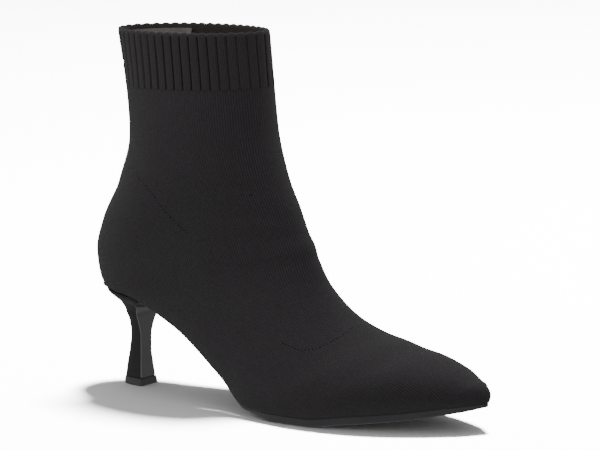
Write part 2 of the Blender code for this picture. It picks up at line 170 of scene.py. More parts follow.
@dataclass
class Last:
    """The form that the boot is knitted and lasted on, from the collar to the toe."""

    length: float = 0.2546
    ball_width: float = 0.0802
    ankle_width: float = 0.0606
    seat_height: float = 0.0585
    shaft_rise: float = 0.1493
    instep_height: float = 0.0448
    toe_spring: float = 0.0109
    toe_swing: float = 0.0103
    sole_thickness: float = 0.0046
    toe_rounding: float = 0.54
    toe_bluntness: float = 0.5
    toe_bulge: float = 0.0020
    tip_inset: float = 2.2
    seat_rounding: tuple[float, float] = (1.6, 0.62)
    swing_start: float = 0.59
    swing_power: float = 1.6
    heel_centre: float = 0.02325
    shaft: tuple[ShaftRow, ...] = (
        ShaftRow(0.973, 1.000, 0.066, 0.458, 0.766, 0.50, 0.50),
        ShaftRow(0.763, 0.795, 0.089, 0.467, 0.838, 0.50, 0.50),
        ShaftRow(0.571, 0.625, 0.102, 0.476, 0.931, 0.45, 0.49),
        ShaftRow(0.390, 0.468, 0.071, 0.501, 1.000, 0.40, 0.47),
        ShaftRow(0.246, 0.358, 0.027, 0.534, 0.983, 0.35, 0.46),
        ShaftRow(0.127, 0.263, 0.008, 0.562, 0.958, 0.31, 0.45),
        ShaftRow(0.000, 0.203, 0.027, 0.580, 0.952, 0.30, 0.45),
    )
    foot: tuple[FootRow, ...] = (
        FootRow(0.120, 0.603, 0.965, 0.000, 0.419, 0.704, 0.588, 0.28, 0.72),
        FootRow(0.268, 0.637, 0.701, 0.000, 0.483, 0.736, 0.611, 0.28, 0.95),
        FootRow(0.399, 0.684, 0.286, 0.000, 0.759, 0.833, 0.686, 0.28, 0.80),
        FootRow(0.490, 0.744, 0.014, 0.000, 0.940, 0.953, 0.838, 0.26, 0.60),
        FootRow(0.570, 0.789, 0.000, 0.000, 0.887, 0.992, 0.905, 0.26, 0.52),
        FootRow(0.650, 0.829, 0.000, 0.000, 0.813, 0.975, 0.893, 0.27, 0.49),
        FootRow(0.737, 0.869, 0.000, 0.240, 0.705, 0.878, 0.781, 0.30, 0.46),
        FootRow(0.863, 0.934, 0.000, 0.580, 0.495, 0.603, 0.519, 0.33, 0.46),
        FootRow(0.952, 0.981, 0.000, 0.880, 0.283, 0.317, 0.250, 0.36, 0.50),
        FootRow(1.000, 1.000, 0.000, 1.000, 0.275, 0.200, 0.150, 0.40, 0.50),
    )
    curves: dict[str, Curve] = field(init=False)

    def __post_init__(self) -> None:
        """Turn both tables into curves of real sizes by station, 0 at the collar."""
        names = ("back_x", "back_z", "front_x", "front_z", "half", "feather", "middle", "roll")
        columns: dict[str, list[tuple[float, float]]] = {name: [] for name in names}

        def add(station: int, **values: float) -> None:
            """Add one station's values to their columns."""
            for name, value in values.items():
                columns[name].append((station, value))

        for station, row in enumerate(self.shaft):
            add(station, back_x=row.back * self.length, front_x=row.front * self.length,
                back_z=self.seat_height + row.back_height * self.shaft_rise,
                front_z=self.seat_height + row.front_height * self.shaft_rise,
                half=row.width * self.ankle_width / 2, middle=row.middle, roll=row.roll)
        for station, row in enumerate(self.foot, len(self.shaft)):
            feather_z = self.sole_thickness + row.spring * self.toe_spring
            feather_z += row.lift * (self.seat_height - self.sole_thickness)
            add(station, back_x=row.feather * self.length, front_x=row.top * self.length,
                back_z=feather_z, front_z=feather_z + row.body * self.instep_height,
                half=row.width * self.ball_width / 2, middle=row.middle, roll=row.roll,
                feather=row.feather_width * self.ball_width / 2)
        self.curves = {name: Curve(rows) for name, rows in columns.items()}

    @property
    def seat(self) -> int:
        """Station of the back of the seat."""
        return len(self.shaft) - 1

    @property
    def seat_end(self) -> int:
        """Station where the seat's round back ends."""
        return len(self.shaft)

    @property
    def toe(self) -> int:
        """Station where the toe starts to close."""
        return self.tip - 1

    @property
    def tip(self) -> int:
        """Station of the toe's tip."""
        return len(self.shaft) + len(self.foot) - 1

    def tip_x(self, inset: float) -> float:
        """Tip of the feather line when it is inset."""
        return self.length - inset * (self.tip_inset if inset > 0.0 else 1.0)

    def taper(self, x: float, inset: float = 0.0) -> float:
        """Share of the toe's width left at x."""
        start = self.curves["back_x"](self.toe)
        share = min(max((x - start) / (self.tip_x(inset) - start), 0.0), 1.0)
        return (1.0 - share) ** self.toe_rounding

    def feather_half(self, x: float, station: float, inset: float = 0.0) -> float:
        """Half width of the feather line, round at the back of the seat and at the toe.

        Args:
            x: distance from the back of the heel.
            station: the station there.
            inset: how far the line is drawn in.

        Returns:
            The half width.
        """
        end = self.curves["back_x"](self.seat_end)
        start = self.curves["back_x"](self.seat) + inset
        slope = 0.0
        if station > self.seat_end:
            ends = np.clip([station - 0.05, station + 0.05], self.seat_end, self.tip)
            rise = np.diff(self.curves["feather"](ends))[0]
            slope = rise / np.diff(self.curves["back_x"](ends))[0]
        half = self.curves["feather"](station) - inset * math.hypot(1.0, slope)
        share = min(max((end - x) / (end - start), 0.0), 1.0)
        first, second = self.seat_rounding
        return half * (1.0 - share ** first) ** second * self.taper(x, inset)

    def swing(self, x: np.ndarray | float) -> np.ndarray | float:
        """Sideways place of the centre line at x."""
        start = self.swing_start * self.length
        reach = np.clip((x - start) / (self.length - start), 0.0, None)
        return self.toe_swing * reach ** self.swing_power

    def side(self, station: float, around: np.ndarray) -> np.ndarray:
        """Points of a section: x, half width and z.

        Args:
            station: which section.
            around: 0 at the feather line or the back, to 1 at the top line.

        Returns:
            One row per value of around.
        """
        back_x, back_z = self.curves["back_x"](station), self.curves["back_z"](station)
        front_x, front_z = self.curves["front_x"](station), self.curves["front_z"](station)
        middle = self.curves["middle"](station)
        taper = self.taper(back_x)
        feather = self.feather_half(back_x, station) if station > self.seat else 0.0
        half = self.curves["half"](station) * taper
        turn = np.abs(around - 0.5) * math.pi
        low = around < 0.5
        reach, level = np.sin(turn), np.clip(np.cos(turn), 0.0, 1.0)
        share = np.where(low, middle - middle * reach, middle + (1.0 - middle) * reach)
        rolled = feather + (half - feather) * level ** (2.0 * self.curves["roll"](station))
        wide = np.where(low, rolled, half * level)
        wide = np.where(around >= 1.0, 0.0, wide)
        level = share * taper ** self.toe_bluntness
        bulge = self.toe_bulge * (1.0 - taper) * 4.0 * level * (1.0 - level)
        x = back_x + share * (front_x - back_x) + bulge
        z = back_z + (front_z - back_z) * level
        return np.stack([x, wide, z], axis=1)

    def place(self, x: np.ndarray, y: np.ndarray, z: np.ndarray) -> np.ndarray:
        """Put points of the boot in the frame, with the toe's swing."""
        return np.stack([x - self.heel_centre, y + self.swing(x), z], axis=1)

    def across(self, station: float, share: np.ndarray) -> np.ndarray:
        """Points from the outer feather line over the top to the inner one.

        Args:
            station: which section.
            share: 0 at the outer feather line, 0.5 at the top line, 1 at the inner one.

        Returns:
            One row x, y, z per share, in the frame.
        """
        side = self.side(station, 1.0 - np.abs(2.0 * share - 1.0))
        sign = np.where(share <= 0.5, Side.OUTER.value, Side.INNER.value)
        return self.place(side[:, 0], side[:, 1] * sign, side[:, 2])

    def ring(self, station: float, share: np.ndarray) -> np.ndarray:
        """Points of a shaft section, evenly spaced round from the back by the outer side.

        Args:
            station: which section.
            share: places round the ring, 0 to 1.

        Returns:
            One row x, y, z per share, before it is put in the frame.
        """
        side = self.side(station, np.linspace(0.0, 1.0, 120))
        outer = side * (1, Side.OUTER.value, 1)
        loop = np.vstack([outer, side[::-1][1:]])
        run = np.r_[0.0, np.cumsum(np.linalg.norm(np.diff(loop, axis=0), axis=1))]
        places = np.mod(share, 1.0) * run[-1]
        return np.stack([np.interp(places, run, loop[:, axis]) for axis in range(3)], axis=1)

    def girth(self, station: float) -> float:
        """Length round a shaft section."""
        loop = self.ring(station, np.linspace(0.0, 0.999, 200))
        return float(np.linalg.norm(np.diff(loop, axis=0), axis=1).sum())

    def station_below_rim(self, down: float) -> float:
        """Station whose back lies a distance under the collar."""
        back_z = self.curves["back_z"]
        return back_z.where(back_z(0.0) - down, 0.0, self.seat)

    def seat_station(self, x: float) -> float:
        """Station whose feather line lies at x."""
        return self.curves["back_x"].where(x, self.seat, self.tip)


LAST = Last()
Placer = Callable[[float, np.ndarray], tuple[np.ndarray, np.ndarray]]


def deselect() -> None:
    """Leave object mode with nothing selected."""
    if bpy.context.object and bpy.context.object.mode != "OBJECT":
        bpy.ops.object.mode_set(mode="OBJECT")
    bpy.ops.object.select_all(action="DESELECT")


def activate(piece: bpy.types.Object) -> None:
    """Select one piece alone and make it active."""
    deselect()
    piece.select_set(True)
    bpy.context.view_layer.objects.active = piece


def wrapped_grid(name: str, across: int, along: int, placer: Placer) -> bpy.types.Object:
    """Add a grid and wrap it on a form, with its knit distances as its UV map.

    Args:
        name: the piece's name.
        across: steps across a row.
        along: number of steps from row to row.
        placer: gives a row's points and UVs from its share along and its shares across.

    Returns:
        The new piece.
    """
    deselect()
    bpy.ops.mesh.primitive_grid_add(x_subdivisions=across, y_subdivisions=along, size=2.0)
    piece = bpy.context.active_object
    piece.name = name
    mesh = piece.data
    mesh.name = name
    flat = np.empty(len(mesh.vertices) * 3)
    mesh.vertices.foreach_get("co", flat)
    start = (flat.reshape(-1, 3) + 1.0) / 2.0
    points = np.empty_like(start)
    knit = np.empty((len(start), 2))
    levels = np.round(start[:, 1], 6)
    for level in np.unique(levels):
        row = np.flatnonzero(levels == level)
        points[row], knit[row] = placer(float(level), start[row, 0])
    mesh.vertices.foreach_set("co", points.ravel())
    corner = np.empty(len(mesh.loops), int)
    mesh.loops.foreach_get("vertex_index", corner)
    mesh.uv_layers.active.data.foreach_set("uv", knit[corner].ravel())
    mesh.update()
    return piece


def weld(piece: bpy.types.Object, distance: float = 0.00002) -> None:
    """Join points that meet, drop flat faces and turn all faces out.

    Args:
        piece: the piece to close.
        distance: points this near to each other become one.
    """
    activate(piece)
    bpy.ops.object.mode_set(mode="EDIT")
    bpy.ops.mesh.select_all(action="SELECT")
    bpy.ops.mesh.remove_doubles(threshold=distance)
    bpy.ops.mesh.dissolve_degenerate(threshold=distance)
    bpy.ops.mesh.select_all(action="SELECT")
    bpy.ops.mesh.normals_make_consistent(inside=False)
    bpy.ops.object.mode_set(mode="OBJECT")


def apply_modifiers(piece: bpy.types.Object) -> None:
    """Apply every modifier of a piece in order."""
    activate(piece)
    for modifier in list(piece.modifiers):
        bpy.ops.object.modifier_apply(modifier=modifier.name)


def shade(piece: bpy.types.Object, degrees: float) -> None:
    """Shade a piece smooth, with edges sharper than an angle kept crisp."""
    activate(piece)
    bpy.ops.object.shade_smooth_by_angle(angle=math.radians(degrees))


def hand_over(piece: bpy.types.Object, slot: str, *nodes: str) -> None:
    """Attach a finished piece to the root, hide the CAD nodes that it stands for and log its slot.

    Args:
        piece: the finished piece.
        slot: name of its material slot, which is only logged.
        *nodes: CAD nodes that it replaces.
    """
    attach(piece, "root")
    if nodes:
        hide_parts(*nodes)
    LOG.info("%s: %d faces, slot %s, for %s", piece.name, len(piece.data.polygons), slot, nodes)


class NodeTree:
    """Short hand for wiring one shader tree or group."""

    def __init__(self, tree: bpy.types.NodeTree) -> None:
        """Keep the tree that new nodes go into."""
        self.tree = tree

    def add(self, kind: str, **values: object) -> bpy.types.Node:
        """Add a node and set its own options.

        Args:
            kind: the node's Blender type.
            **values: attributes of the node.

        Returns:
            The node.
        """
        node = self.tree.nodes.new(kind)
        for name, value in values.items():
            setattr(node, name, value)
        return node

    def link(self, source: bpy.types.NodeSocket, target: bpy.types.NodeSocket) -> None:
        """Join two sockets."""
        self.tree.links.new(source, target)

    def feed(self, socket: bpy.types.NodeSocket, value: object) -> None:
        """Give an input a link or a constant."""
        if isinstance(value, bpy.types.NodeSocket):
            self.link(value, socket)
        else:
            socket.default_value = value

    def math(self, operation: str, first: object, second: object = 0.0) -> bpy.types.NodeSocket:
        """Add a Math node.

        Args:
            operation: the node's operation.
            first: socket or number.
            second: socket or number.

        Returns:
            Its value.
        """
        node = self.add("ShaderNodeMath", operation=operation)
        self.feed(node.inputs[0], first)
        self.feed(node.inputs[1], second)
        return node.outputs[0]

    def remap(self, value: bpy.types.NodeSocket, low: float, high: float,
              to_low: float, to_high: float) -> bpy.types.NodeSocket:
        """Map a range of values smoothly to another and clamp it.

        Args:
            value: the socket read.
            low: start of the range.
            high: end of the range.
            to_low: result at the start.
            to_high: result at the end.

        Returns:
            The mapped value.
        """
        node = self.add("ShaderNodeMapRange", interpolation_type="SMOOTHSTEP")
        for name, number in zip(("From Min", "From Max", "To Min", "To Max"),
                                (low, high, to_low, to_high)):
            node.inputs[name].default_value = number
        self.link(value, node.inputs["Value"])
        return node.outputs["Result"]

    def mix(self, factor: object, first: object, second: object) -> bpy.types.NodeSocket:
        """Mix two colours.

        Args:
            factor: socket or share of the second colour.
            first: socket or colour.
            second: socket or colour.

        Returns:
            The mixed colour.
        """
        node = self.add("ShaderNodeMix", data_type="RGBA")
        self.feed(node.inputs["Factor"], factor)
        self.feed(node.inputs[6], first)
        self.feed(node.inputs[7], second)
        return node.outputs[2]

    def noise(self, where: bpy.types.NodeSocket, scale: float, detail: float = 3.0,
              roughness: float = 0.55) -> bpy.types.NodeSocket:
        """Add a noise texture.

        Args:
            where: the coordinates read.
            scale: its scale.
            detail: its octaves.
            roughness: how strong the small octaves are.

        Returns:
            Its factor.
        """
        node = self.add("ShaderNodeTexNoise")
        node.inputs["Scale"].default_value = scale
        node.inputs["Detail"].default_value = detail
        node.inputs["Roughness"].default_value = roughness
        self.link(where, node.inputs["Vector"])
        return node.outputs["Fac"]


class Socket(NamedTuple):
    """One input of a node group."""

    name: str
    kind: str
    default: float | None


class EffectGroup:
    """A shader node group, built once and shared by materials."""

    title = "Effect"
    inputs: tuple[Socket, ...] = ()
    outputs: tuple[tuple[str, str], ...] = ()

    def get(self) -> bpy.types.NodeTree:
        """Return the group, building it the first time."""
        found = bpy.data.node_groups.get(self.title)
        if found:
            return found
        tree = bpy.data.node_groups.new(self.title, "ShaderNodeTree")
        for socket in self.inputs:
            item = tree.interface.new_socket(
                name=socket.name, in_out="INPUT", socket_type=socket.kind)
            if socket.default is not None:
                item.default_value = socket.default
        for name, kind in self.outputs:
            tree.interface.new_socket(name=name, in_out="OUTPUT", socket_type=kind)
        net = NodeTree(tree)
        self.wire(net, net.add("NodeGroupInput"), net.add("NodeGroupOutput"))
        return tree

    def wire(self, net: NodeTree, source: bpy.types.Node, result: bpy.types.Node) -> None:
        """Wire the group's own nodes.

        Args:
            net: the group's tree.
            source: its Group Input node.
            result: its Group Output node.
        """
        raise NotImplementedError


FLOAT = "NodeSocketFloat"
VECTOR = "NodeSocketVector"


class FlatKnit(EffectGroup):
    """Wales and courses of plain knitting on a UV map that is in metres."""

    title = "Flat knit stitches"
    inputs = (Socket("UV", VECTOR, None), Socket("Wale", FLOAT, 0.00145),
              Socket("Course", FLOAT, 0.00110), Socket("Unevenness", FLOAT, 0.12))
    outputs = (("Height", FLOAT), ("Valley", FLOAT), ("Heather", FLOAT))

    def wire(self, net: NodeTree, source: bpy.types.Node, result: bpy.types.Node) -> None:
        """Wire V-shaped legs of stitches, one pair to a wale.

        Args:
            net: the group's tree.
            source: its Group Input node.
            result: its Group Output node.
        """
        wobble = net.noise(source.outputs["UV"], 260.0, 2.0)
        wobble = net.math("MULTIPLY", net.math("SUBTRACT", wobble, 0.5),
                          source.outputs["Unevenness"])
        split = net.add("ShaderNodeSeparateXYZ")
        net.link(source.outputs["UV"], split.inputs[0])
        column = net.math("DIVIDE", split.outputs["X"], source.outputs["Wale"])
        column = net.math("ADD", column, wobble)
        row = net.math("DIVIDE", split.outputs["Y"], source.outputs["Course"])
        place = net.math("ABSOLUTE", net.math("SUBTRACT", net.math("FRACT", column), 0.5))
        leg = net.math("DIVIDE", net.math("ABSOLUTE", net.math("SUBTRACT", place, 0.25)), 0.25)
        leg = net.math("SUBTRACT", 1.0, net.math("POWER", leg, 2.0))
        slant = net.math("ADD", row, net.math("MULTIPLY", place, 1.8))
        loop = net.math("SINE", net.math("MULTIPLY", net.math("FRACT", slant), math.pi))
        loop = net.math("ADD", net.math("MULTIPLY", loop, 0.45), 0.55)
        gutter = net.remap(place, 0.30, 0.5, 1.0, 0.0)
        height = net.math("MULTIPLY", net.math("MULTIPLY", leg, loop), gutter)
        height = net.math("ADD", net.math("MULTIPLY", height, 0.6),
                          net.math("MULTIPLY", gutter, 0.4))
        net.link(height, result.inputs["Height"])
        net.link(net.math("SUBTRACT", 1.0, height), result.inputs["Valley"])
        cell = net.add("ShaderNodeCombineXYZ")
        net.link(net.math("FLOOR", column), cell.inputs["X"])
        net.link(net.math("FLOOR", slant), cell.inputs["Y"])
        random = net.add("ShaderNodeTexWhiteNoise", noise_dimensions="2D")
        net.link(cell.outputs[0], random.inputs["Vector"])
        net.link(random.outputs["Value"], result.inputs["Heather"])


class Wear(EffectGroup):
    """Soft patches of dust and rubbing, uneven over a piece."""

    title = "Dust and rubbing"
    inputs = (Socket("Where", VECTOR, None), Socket("Scale", FLOAT, 40.0))
    outputs = (("Patches", FLOAT), ("Fine", FLOAT))

    def wire(self, net: NodeTree, source: bpy.types.Node, result: bpy.types.Node) -> None:
        """Wire a broad and a fine noise.

        Args:
            net: the group's tree.
            source: its Group Input node.
            result: its Group Output node.
        """
        broad = net.add("ShaderNodeTexNoise")
        net.link(source.outputs["Where"], broad.inputs["Vector"])
        net.link(source.outputs["Scale"], broad.inputs["Scale"])
        net.link(net.remap(broad.outputs["Fac"], 0.35, 0.75, 0.0, 1.0),
                 result.inputs["Patches"])
        net.link(net.noise(source.outputs["Where"], 2400.0, 2.0), result.inputs["Fine"])


Colour = tuple[float, float, float]


@dataclass(frozen=True)
class Finish:
    """What every finish shares: a named Principled material."""

    name: str
    colour: Colour
    roughness: float

    def start(self) -> tuple[bpy.types.Material, NodeTree, bpy.types.Node]:
        """Make the material with its constant values.

        Returns:
            The material, its tree and its shader.
        """
        material = bpy.data.materials.new(self.name)
        material.use_nodes = True
        net = NodeTree(material.node_tree)
        shader = material.node_tree.nodes["Principled BSDF"]
        shader.inputs["Base Color"].default_value = (*self.colour, 1.0)
        shader.inputs["Roughness"].default_value = self.roughness
        return material, net, shader

    def shades(self, dark: float, light: float) -> tuple[tuple[float, ...], tuple[float, ...]]:
        """Return a darker and a lighter shade of the finish's colour."""
        return (*(c * dark for c in self.colour), 1.0), (*(c * light for c in self.colour), 1.0)

    def group(self, net: NodeTree, effect: EffectGroup, where: object,
              **values: float) -> bpy.types.Node:
        """Place a shared effect.

        Args:
            net: the material's tree.
            effect: the effect.
            where: the coordinates for its first input.
            **values: its other inputs, by name.

        Returns:
            The group's node.
        """
        node = net.add("ShaderNodeGroup", node_tree=effect.get())
        net.feed(node.inputs[0], where)
        for name, value in values.items():
            node.inputs[name].default_value = value
        return node

    def bump(self, net: NodeTree, shader: bpy.types.Node, height: object,
             distance: float) -> None:
        """Feed a height to the shader's normal.

        Args:
            net: the material's tree.
            shader: the Principled shader.
            height: the height's socket.
            distance: real height of the relief.
        """
        node = net.add("ShaderNodeBump")
        node.inputs["Strength"].default_value = 1.0
        node.inputs["Distance"].default_value = distance
        net.feed(node.inputs["Height"], height)
        net.link(node.outputs["Normal"], shader.inputs["Normal"])


@dataclass(frozen=True)
class KnitFinish(Finish):
    """Fine knitting with a little fuzz, its stitch valleys darkened as painted shade."""

    wale: float = 0.00145
    course: float = 0.00110
    relief: float = 0.00034
    fuzz: float = 0.045

    def build(self) -> bpy.types.Material:
        """Make the material."""
        material, net, shader = self.start()
        shader.inputs["Sheen Weight"].default_value = self.fuzz
        shader.inputs["Sheen Roughness"].default_value = 0.45
        shader.inputs["Specular IOR Level"].default_value = 0.14
        where = net.add("ShaderNodeUVMap").outputs["UV"]
        knit = self.group(net, FlatKnit(), where, Wale=self.wale, Course=self.course)
        wear = self.group(net, Wear(), net.add("ShaderNodeTexCoord").outputs["Object"],
                          Scale=22.0)
        # dark is the painted shade laid into the stitch valleys; light is the random heather and
        # dust tone.
        dark, light = self.shades(0.30, 1.75)
        tone = net.math("MULTIPLY", knit.outputs["Heather"], 0.35)
        tone = net.math("ADD", tone, net.math("MULTIPLY", wear.outputs["Patches"], 0.15))
        tone = net.math("ADD", tone, net.math("MULTIPLY", wear.outputs["Fine"], 0.25))
        colour = net.mix(tone, (*self.colour, 1.0), light)
        # Stitch valleys are painted darker: painted shade in the knit's recesses.
        painted_valley_shade = net.remap(knit.outputs["Valley"], 0.35, 0.95, 0.0, 1.0)
        net.link(net.mix(painted_valley_shade, colour, dark), shader.inputs["Base Color"])
        rough = net.remap(wear.outputs["Patches"], 0.0, 1.0, self.roughness - 0.05,
                          min(self.roughness + 0.08, 1.0))
        net.link(rough, shader.inputs["Roughness"])
        height = net.math("ADD", knit.outputs["Height"],
                          net.math("MULTIPLY", wear.outputs["Fine"], 0.30))
        self.bump(net, shader, height, self.relief)
        return material


@dataclass(frozen=True)
class CoverFinish(Finish):
    """Smooth or finely grained cover, board or rubber."""

    grain: float = 1500.0
    relief: float = 0.00004
    scuff: float = 0.12
    gloss: float = 0.5

    def build(self) -> bpy.types.Material:
        """Make the material."""
        material, net, shader = self.start()
        shader.inputs["Specular IOR Level"].default_value = self.gloss
        where = net.add("ShaderNodeTexCoord").outputs["Object"]
        wear = self.group(net, Wear(), where, Scale=55.0)
        cells = net.add("ShaderNodeTexVoronoi", feature="F1")
        cells.inputs["Scale"].default_value = self.grain
        net.link(where, cells.inputs["Vector"])
        dark, light = self.shades(0.8, 1.5)
        tone = net.math("MULTIPLY", wear.outputs["Patches"], 0.5)
        net.link(net.mix(tone, dark, light), shader.inputs["Base Color"])
        rough = net.math("ADD", self.roughness - self.scuff / 2,
                         net.math("MULTIPLY", wear.outputs["Patches"], self.scuff))
        rough = net.math("ADD", rough, net.math("MULTIPLY", wear.outputs["Fine"], 0.06))
        net.link(rough, shader.inputs["Roughness"])
        height = net.math("ADD", net.math("MULTIPLY", cells.outputs["Distance"], 0.7),
                          net.math("MULTIPLY", wear.outputs["Fine"], 0.5))
        self.bump(net, shader, height, self.relief)
        return material


@dataclass(frozen=True)
class TreadFinish(Finish):
    """Underside of the sole, with fine moulded lines across it."""

    pitch: float = 0.0022
    relief: float = 0.00025

    def build(self) -> bpy.types.Material:
        """Make the material."""
        material, net, shader = self.start()
        where = net.add("ShaderNodeTexCoord").outputs["Object"]
        wear = self.group(net, Wear(), where, Scale=30.0)
        split = net.add("ShaderNodeSeparateXYZ")
        net.link(where, split.inputs[0])
        turn = net.math("MULTIPLY", split.outputs["X"], 2.0 * math.pi / self.pitch)
        ridges = net.remap(net.math("SINE", turn), -0.6, 0.6, 0.0, 1.0)
        dark, light = self.shades(0.75, 1.6)
        net.link(net.mix(wear.outputs["Patches"], dark, light), shader.inputs["Base Color"])
        rough = net.remap(wear.outputs["Patches"], 0.0, 1.0, self.roughness,
                          self.roughness + 0.2)
        net.link(rough, shader.inputs["Roughness"])
        height = net.math("ADD", ridges, net.math("MULTIPLY", wear.outputs["Fine"], 0.3))
        self.bump(net, shader, height, self.relief)
        return material


@dataclass(frozen=True)
class TapeFinish(Finish):
    """Smooth woven tape of the back lining."""

    pitch: float = 0.0006
    relief: float = 0.00006

    def build(self) -> bpy.types.Material:
        """Make the material."""
        material, net, shader = self.start()
        shader.inputs["Sheen Weight"].default_value = 0.2
        where = net.add("ShaderNodeUVMap").outputs["UV"]
        split = net.add("ShaderNodeSeparateXYZ")
        net.link(where, split.inputs[0])
        step = 2.0 * math.pi / self.pitch
        warp = net.math("SINE", net.math("MULTIPLY", split.outputs["X"], step))
        weft = net.math("SINE", net.math("MULTIPLY", split.outputs["Y"], step))
        weave = net.math("MULTIPLY", warp, weft)
        wear = self.group(net, Wear(), net.add("ShaderNodeTexCoord").outputs["Object"],
                          Scale=60.0)
        dark, light = self.shades(0.8, 1.15)
        tone = net.math("ADD", net.math("MULTIPLY", weave, 0.2),
                        net.math("MULTIPLY", wear.outputs["Patches"], 0.6))
        net.link(net.mix(tone, dark, light), shader.inputs["Base Color"])
        self.bump(net, shader, weave, self.relief)
        return material


@dataclass(frozen=True)
class Crease:
    """A soft trough with a ridge on each side, laid on the knit."""

    station: float
    share: float
    reach: float
    width: float
    depth: float
    lean: float = 0.0

    def push(self, station: np.ndarray, share: np.ndarray) -> np.ndarray:
        """How far the knit moves out, in metres.

        Args:
            station: stations of the points.
            share: their shares across, 0 outer feather, 0.5 top line, 1 inner feather.

        Returns:
            One distance per point.
        """
        line = (station - self.station - self.lean * (share - self.share)) / self.width
        window = np.clip(1.0 - np.abs(share - self.share) / self.reach, 0.0, 1.0)
        window = window * window * (3.0 - 2.0 * window)
        return -self.depth * (1.0 - 1.4 * line * line) * np.exp(-line * line) * window


@dataclass
class KnitUpper:
    """The hollow one-piece knit upper, from under the cuff to the toe."""

    wall: float = 0.0018
    cuff_height: float = 0.0314
    seam_gap: float = 0.00005
    across: int = 168
    along: int = 168
    creases: tuple[Crease, ...] = (
        Crease(5.0, 0.50, 0.20, 0.50, 0.0004),
        Crease(6.3, 0.50, 0.22, 0.45, 0.0004),
        Crease(4.1, 0.40, 0.14, 0.40, 0.0003, 3.0),
        Crease(4.3, 0.60, 0.14, 0.40, 0.0003, -3.0),
        Crease(3.0, 0.06, 0.12, 0.35, 0.0003),
        Crease(3.0, 0.94, 0.12, 0.35, 0.0003),
    )

    def station(self, level: float) -> float:
        """Station of a row, closer together where seat and toe turn round."""
        top = LAST.station_below_rim(self.cuff_height + self.seam_gap)
        shaft, seat, foot = 0.42, 0.55, 0.90
        back_x = LAST.curves["back_x"]
        if level <= shaft:
            return top + (LAST.seat - top) * level / shaft
        if level <= seat:
            turn = (level - shaft) / (seat - shaft) * math.pi / 2
            end = back_x(LAST.seat_end)
            x = end - (end - back_x(LAST.seat)) * math.cos(turn)
            return LAST.seat_station(x)
        if level <= foot:
            return LAST.seat_end + (LAST.toe - LAST.seat_end) * (level - seat) / (foot - seat)
        turn = (level - foot) / (1.0 - foot) * math.pi / 2
        return LAST.toe + math.sin(turn)

    def build(self, outer: bpy.types.Material, lining: bpy.types.Material) -> None:
        """Wrap, crease and thicken the upper.

        Args:
            outer: the knit's material.
            lining: the material inside.
        """
        run = {"point": None, "length": 0.0}

        def placer(level: float, share: np.ndarray) -> tuple[np.ndarray, np.ndarray]:
            """Place one row and measure it: U round from the top line, V along it."""
            station = self.station(level)
            points = LAST.across(station, share)
            arc = np.r_[0.0, np.cumsum(np.linalg.norm(np.diff(points, axis=0), axis=1))]
            arc -= np.interp(0.5, share, arc)
            top = LAST.across(station, np.array([0.5]))[0]
            if run["point"] is not None:
                run["length"] += float(np.linalg.norm(top - run["point"]))
            run["point"] = top
            length = np.full(len(share), run["length"])
            return points, np.stack([arc, length], axis=1)

        piece = wrapped_grid("knit_upper_shell", self.across, self.along, placer)
        self.crease(piece)
        weld(piece)
        wall = piece.modifiers.new("Wall", "SOLIDIFY")
        wall.thickness = self.wall
        wall.offset = -1.0
        wall.use_even_offset = True
        wall.material_offset = 1
        piece.data.materials.append(outer)
        piece.data.materials.append(lining)
        apply_modifiers(piece)
        shade(piece, 50.0)
        hand_over(piece, "knit", "knit_upper")

    def crease(self, piece: bpy.types.Object) -> None:
        """Push the creases into the single sheet, along its normals."""
        mesh = piece.data
        count = len(mesh.vertices)
        normals = np.empty(count * 3)
        mesh.vertex_normals.foreach_get("vector", normals)
        points = np.empty(count * 3)
        mesh.vertices.foreach_get("co", points)
        rows = self.along + 1
        per_row = count // rows
        share = np.tile(np.linspace(0.0, 1.0, per_row), rows)
        stations = [self.station(level) for level in np.linspace(0.0, 1.0, rows)]
        station = np.repeat(np.array(stations), per_row)
        push = sum(crease.push(station, share) for crease in self.creases)
        normals, points = normals.reshape(-1, 3), points.reshape(-1, 3)
        centre = points.mean(axis=0)
        facing = np.sign(np.median(((points - centre) * normals).sum(axis=1)))
        points += normals * facing * push[:, None]
        mesh.vertices.foreach_set("co", points.ravel())
        mesh.update()


